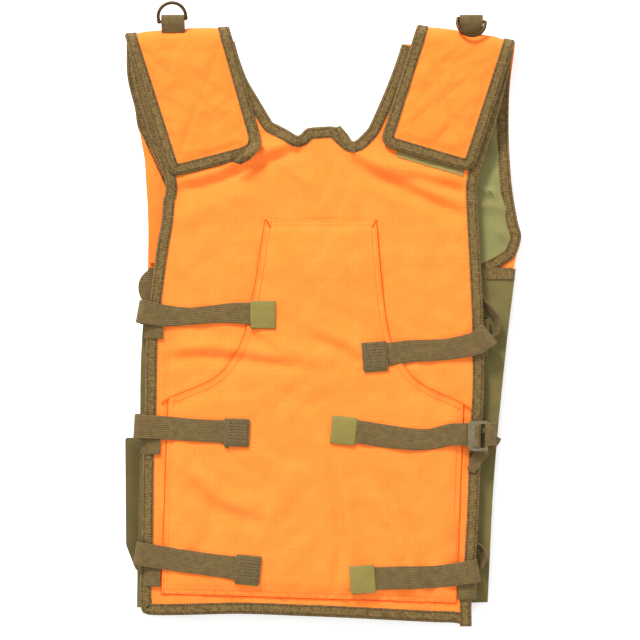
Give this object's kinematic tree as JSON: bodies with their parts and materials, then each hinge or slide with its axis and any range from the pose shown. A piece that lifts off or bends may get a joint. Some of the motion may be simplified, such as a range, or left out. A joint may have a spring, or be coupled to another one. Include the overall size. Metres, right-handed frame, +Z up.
{
  "type": "field vest",
  "caption": "Blaze orange field vest lying back up: hook-and-loop shoulder flaps, D rings, back pouch and webbing side straps with ladder locks.",
  "frame": {"origin": "centre of the whole vest's footprint, on the surface it lies on", "axes": "+X to the right seen from above, +Y from the hem to the shoulders, +Z up out of the back"},
  "size_m": [0.433, 0.6826, 0.0393],
  "materials": {
    "orange_cloth": "woven blaze orange polyester, matt",
    "green_lining": "plain woven green lining",
    "khaki_cloth": "woven khaki pack cloth",
    "olive_cloth": "woven dark olive pack cloth",
    "binding_tape": "ribbed tan binding tape",
    "webbing": "ribbed tan webbing",
    "keeper_cloth": "stitched olive tan keeper",
    "hook_and_loop": "napped tan loop field",
    "antique_brass": "antique brass wire, satin",
    "lock_plastic": "moulded tan plastic",
    "zip_cloth": "zip tape",
    "zip_metal": "dark painted metal"
  },
  "bodies": {
    "vest": {"armhole_binding_left": "binding_tape", "armhole_binding_right": "binding_tape", "back_lining": "green_lining", "back_panel": "orange_cloth", "back_pouch": "orange_cloth", "chest_panel_left": "orange_cloth", "chest_panel_right": "orange_cloth", "front_lining_left": "green_lining", "front_lining_right": "green_lining", "front_panel_left": "khaki_cloth", "front_panel_right": "khaki_cloth", "hem_binding": "binding_tape", "lock_anchors_left": "webbing", "lock_anchors_right": "webbing", "neck_binding": "binding_tape", "pocket_left": "olive_cloth", "pocket_right": "olive_cloth", "ring_tab_left": "webbing", "ring_tab_right": "webbing", "seam_tape_left": "khaki_cloth", "seam_tape_right": "khaki_cloth", "shoulder_left": "orange_cloth", "shoulder_loop_left": "hook_and_loop", "shoulder_loop_right": "hook_and_loop", "shoulder_right": "orange_cloth", "side_binding_left": "binding_tape", "side_binding_right": "binding_tape", "side_locks_left": "lock_plastic", "side_locks_right": "lock_plastic", "strap_roots_left": "webbing", "strap_roots_right": "webbing", "strap_turns_left": "webbing", "strap_turns_right": "webbing", "zip_tape_left": "zip_cloth", "zip_tape_right": "zip_cloth", "zip_teeth_left": "lock_plastic", "zip_teeth_right": "lock_plastic"},
    "ring_left": {"ring_left": "antique_brass"},
    "ring_right": {"ring_right": "antique_brass"},
    "flap_left": {"flap_left": "orange_cloth", "flap_binding_left": "binding_tape", "flap_hook_left": "hook_and_loop"},
    "flap_right": {"flap_right": "orange_cloth", "flap_binding_right": "binding_tape", "flap_hook_right": "hook_and_loop"},
    "zip_slider": {"zip_slider": "zip_metal"},
    "zip_pull": {"zip_pull": "zip_metal"},
    "strap_left_upper": {"tail_left_upper": "webbing", "keeper_left_upper": "keeper_cloth"},
    "strap_left_middle": {"tail_left_middle": "webbing", "keeper_left_middle": "keeper_cloth"},
    "strap_left_lower": {"tail_left_lower": "webbing", "keeper_left_lower": "keeper_cloth"},
    "strap_right_upper": {"tail_right_upper": "webbing", "keeper_right_upper": "keeper_cloth"},
    "strap_right_middle": {"tail_right_middle": "webbing", "keeper_right_middle": "keeper_cloth", "lock_right_middle": "lock_plastic"},
    "strap_right_lower": {"tail_right_lower": "webbing", "keeper_right_lower": "keeper_cloth"}
  },
  "joints": [
    {"name": "ring_left_swing", "type": "hinge", "parent": "vest", "child": "ring_left", "pos_m": [-0.16246, 0.32035, 0.0296], "axis": [0.9908, 0.1351, 0], "range_deg": [-45, 159]},
    {"name": "ring_right_swing", "type": "hinge", "parent": "vest", "child": "ring_right", "pos_m": [0.16294, 0.32035, 0.0296], "axis": [0.9908, -0.1351, 0], "range_deg": [-204, 0]},
    {"name": "flap_left_peel", "type": "hinge", "parent": "vest", "child": "flap_left", "pos_m": [-0.14952, 0.27905, 0.0314], "axis": [-0.9833, -0.1821, 0], "range_deg": [0, 120]},
    {"name": "flap_right_peel", "type": "hinge", "parent": "vest", "child": "flap_right", "pos_m": [0.15, 0.27905, 0.0314], "axis": [-0.9833, 0.1821, 0], "range_deg": [0, 120]},
    {"name": "strap_left_upper_lift", "type": "hinge", "parent": "vest", "child": "strap_left_upper", "pos_m": [-0.18369, 0.00164, 0.034], "axis": [0, -1, 0], "range_deg": [0, 100]},
    {"name": "strap_left_middle_lift", "type": "hinge", "parent": "vest", "child": "strap_left_middle", "pos_m": [-0.1895, -0.12336, 0.034], "axis": [0, -1, 0], "range_deg": [0, 100]},
    {"name": "strap_left_lower_lift", "type": "hinge", "parent": "vest", "child": "strap_left_lower", "pos_m": [-0.18953, -0.26336, 0.034], "axis": [0, -1, 0], "range_deg": [0, 100]},
    {"name": "strap_right_upper_lift", "type": "hinge", "parent": "vest", "child": "strap_right_upper", "pos_m": [0.17588, -0.02036, 0.034], "axis": [0, 1, 0], "range_deg": [0, 100]},
    {"name": "strap_right_middle_lift", "type": "hinge", "parent": "vest", "child": "strap_right_middle", "pos_m": [0.17835, -0.13136, 0.03585], "axis": [0, 1, 0], "range_deg": [0, 60]},
    {"name": "strap_right_lower_lift", "type": "hinge", "parent": "vest", "child": "strap_right_lower", "pos_m": [0.16063, -0.27736, 0.034], "axis": [0, 1, 0], "range_deg": [0, 100]},
    {"name": "zip_slide", "type": "slide", "parent": "vest", "child": "zip_slider", "axis": [0, -1, 0], "range_m": [0, 0.395]},
    {"name": "zip_pull_swing", "type": "hinge", "parent": "zip_slider", "child": "zip_pull", "pos_m": [-0.00793, 0.11814, 0.004], "axis": [1, 0, 0], "range_deg": [0, 100]}
  ]
}
